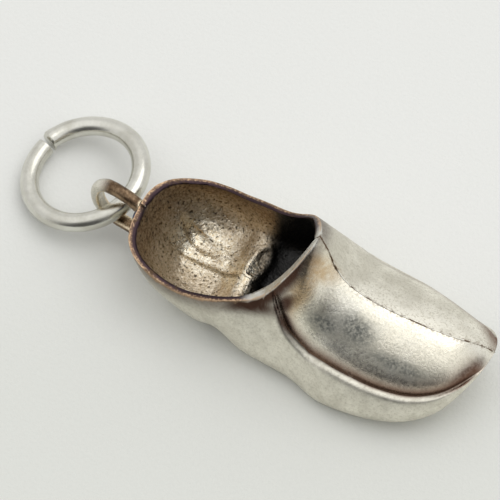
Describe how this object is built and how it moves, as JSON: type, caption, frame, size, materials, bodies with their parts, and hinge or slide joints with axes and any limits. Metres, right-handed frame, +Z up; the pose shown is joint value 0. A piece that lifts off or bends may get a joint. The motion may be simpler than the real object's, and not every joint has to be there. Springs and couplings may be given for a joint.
{
  "type": "clog charm",
  "caption": "Hollow silver wooden-shoe charm with a heel bail and an open jump ring for hanging it from a bracelet or chain.",
  "frame": {"origin": "middle of the flat under the ball of the shoe, on the surface it rests on", "axes": "+X from heel to toe, +Y to the shoe's left (the side away from the viewer), +Z up from the sole"},
  "size_m": [0.0325, 0.0125, 0.0101],
  "materials": {
    "polished_silver": "worn bright silver with brown tarnish low down",
    "tarnished_silver": "pitted grey silver, brown-black inside",
    "bail_silver": "silver strip with brown tarnish",
    "upper_solder": "heat-tinted blue and violet solder",
    "lower_solder": "dark grey-brown solder",
    "ring_silver": "clean polished silver wire"
  },
  "bodies": {
    "shoe": {"right_half_shell": "polished_silver", "left_half_shell": "tarnished_silver", "bail": "bail_silver", "upper_solder_bead": "upper_solder", "lower_solder_bead": "lower_solder"},
    "ring": {"jump_ring": "ring_silver"}
  },
  "joints": [
    {"name": "ring_swing", "type": "hinge", "parent": "shoe", "child": "ring", "pos_m": [-0.01492, 0.00029, 0.00217], "axis": [0.4912, 0.857, 0.1558], "range_deg": [-122, 114]}
  ]
}
